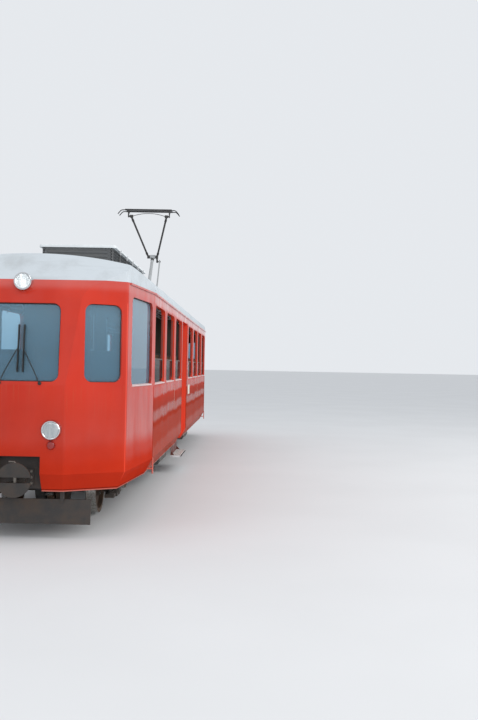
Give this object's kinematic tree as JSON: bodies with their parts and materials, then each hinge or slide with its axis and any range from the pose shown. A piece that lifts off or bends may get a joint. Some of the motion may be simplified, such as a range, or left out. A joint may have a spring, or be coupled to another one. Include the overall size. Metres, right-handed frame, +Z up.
{
  "type": "rack railway railcar",
  "caption": "Narrow-gauge electric rack railway railcar with folding doors, drop windows, toothed driving axles and a raised single-arm pantograph.",
  "frame": {"origin": "below the middle of the car, at the lowest point of the wheel flanges", "axes": "+X along the car towards the end with the pantograph, +Z up"},
  "size_m": [15.2, 2.5362, 5.6022],
  "materials": {
    "red_paint": "gloss enamel",
    "roof_paint": "satin grey",
    "dark_frame": "satin black, dusty",
    "running_steel": "worn steel",
    "bare_aluminium": "satin",
    "cabin_floor": "floor covering",
    "cabin_wood": "varnished",
    "bench_wood": "varnished slats",
    "insulator": "brown glaze",
    "glass": "clear",
    "lamp_glass": "lamp lens",
    "pantograph_paint": "light grey",
    "contact_strip": "carbon"
  },
  "bodies": {
    "car_body": {"floor": "cabin_floor", "sole_bars": "dark_frame", "cross_members": "dark_frame", "side_wall_left_front": "red_paint", "side_wall_left_rear": "red_paint", "side_wall_right_front": "red_paint", "side_wall_right_rear": "red_paint", "door_surround_left": "red_paint", "door_surround_right": "red_paint", "cab_shell_front": "red_paint", "cab_shell_rear": "red_paint", "window_panes": "glass", "roof_shell": "roof_paint", "roof_box": "dark_frame", "roof_box_lid": "roof_paint", "partitions": "cabin_wood", "bench_seats": "bench_wood", "bench_backs": "bench_wood", "driver_places": "dark_frame", "headlamps": "lamp_glass", "couplers": "dark_frame", "rail_guards": "dark_frame", "step_treads": "bare_aluminium", "door_rails": "bare_aluminium", "underfloor_equipment": "dark_frame", "pantograph_base": "pantograph_paint", "pantograph_insulators": "insulator"},
    "bogie_front": {"bogie_frame_front": "dark_frame", "motors_front": "dark_frame"},
    "bogie_rear": {"bogie_frame_rear": "dark_frame", "motors_rear": "dark_frame"},
    "axle_1": {"wheelset_1": "running_steel"},
    "axle_2": {"wheelset_2": "running_steel"},
    "axle_3": {"wheelset_3": "running_steel"},
    "axle_4": {"wheelset_4": "running_steel"},
    "door_left_1_leaf": {"door_left_1": "red_paint", "door_left_1_pane": "glass"},
    "door_left_2_leaf": {"door_left_2": "red_paint", "door_left_2_pane": "glass"},
    "door_right_1_leaf": {"door_right_1": "red_paint", "door_right_1_pane": "glass"},
    "door_right_2_leaf": {"door_right_2": "red_paint", "door_right_2_pane": "glass"},
    "lower_arm": {"pantograph_lower_arm": "pantograph_paint"},
    "coupling_rod": {"pantograph_rod": "pantograph_paint"},
    "upper_frame": {"pantograph_upper_frame": "dark_frame"},
    "pan_head": {"pantograph_head": "contact_strip"}
  },
  "joints": [
    {"name": "bogie_front_swivel", "type": "hinge", "parent": "car_body", "child": "bogie_front", "pos_m": [4.65, 0, 0.718], "axis": [0, 0, 1], "range_deg": [-4, 4]},
    {"name": "bogie_rear_swivel", "type": "hinge", "parent": "car_body", "child": "bogie_rear", "pos_m": [-4.65, 0, 0.718], "axis": [0, 0, 1], "range_deg": [-4, 4]},
    {"name": "axle_1_roll", "type": "hinge", "parent": "bogie_front", "child": "axle_1", "pos_m": [5.725, 0, 0.358], "axis": [0, 1, 0], "continuous": true},
    {"name": "axle_2_roll", "type": "hinge", "parent": "bogie_front", "child": "axle_2", "pos_m": [3.575, 0, 0.358], "axis": [0, 1, 0], "continuous": true},
    {"name": "axle_3_roll", "type": "hinge", "parent": "bogie_rear", "child": "axle_3", "pos_m": [-3.575, 0, 0.358], "axis": [0, 1, 0], "continuous": true},
    {"name": "axle_4_roll", "type": "hinge", "parent": "bogie_rear", "child": "axle_4", "pos_m": [-5.725, 0, 0.358], "axis": [0, 1, 0], "continuous": true},
    {"name": "door_left_fold", "type": "hinge", "parent": "car_body", "child": "door_left_1_leaf", "pos_m": [-1.358, 0.971, 0.99], "axis": [0, 0, -1], "range_deg": [0, 84]},
    {"name": "door_left_knuckle", "type": "hinge", "parent": "door_left_1_leaf", "child": "door_left_2_leaf", "pos_m": [-0.85, 0.996, 0.99], "axis": [0, 0, -1], "range_deg": [-172, 4]},
    {"name": "door_right_fold", "type": "hinge", "parent": "car_body", "child": "door_right_1_leaf", "pos_m": [-1.358, -0.971, 0.99], "axis": [0, 0, 1], "range_deg": [0, 84]},
    {"name": "door_right_knuckle", "type": "hinge", "parent": "door_right_1_leaf", "child": "door_right_2_leaf", "pos_m": [-0.85, -0.996, 0.99], "axis": [0, 0, 1], "range_deg": [-172, 4]},
    {"name": "lower_arm_lift", "type": "hinge", "parent": "car_body", "child": "lower_arm", "pos_m": [3.14, 0, 3.418], "axis": [0, -1, 0], "range_deg": [-45, 8]},
    {"name": "coupling_rod_swing", "type": "hinge", "parent": "car_body", "child": "coupling_rod", "pos_m": [3.46, -0.162, 3.356], "axis": [0, -1, 0], "range_deg": [-50, 10]},
    {"name": "upper_frame_swing", "type": "hinge", "parent": "lower_arm", "child": "upper_frame", "pos_m": [4.1895, 0, 4.60843], "axis": [0, -1, 0], "range_deg": [-18, 90]},
    {"name": "pan_head_level", "type": "hinge", "parent": "upper_frame", "child": "pan_head", "pos_m": [3.30165, 0, 5.45244], "axis": [0, -1, 0], "range_deg": [-45, 10]}
  ],
  "couplings": [
    {"joint": "door_left_knuckle", "follows": "door_left_fold", "ratio": -2},
    {"joint": "door_right_knuckle", "follows": "door_right_fold", "ratio": -2},
    {"joint": "coupling_rod_swing", "follows": "lower_arm_lift", "ratio": 1.065},
    {"joint": "upper_frame_swing", "follows": "lower_arm_lift", "ratio": -1.9344},
    {"joint": "pan_head_level", "follows": "lower_arm_lift", "ratio": 0.93444}
  ]
}
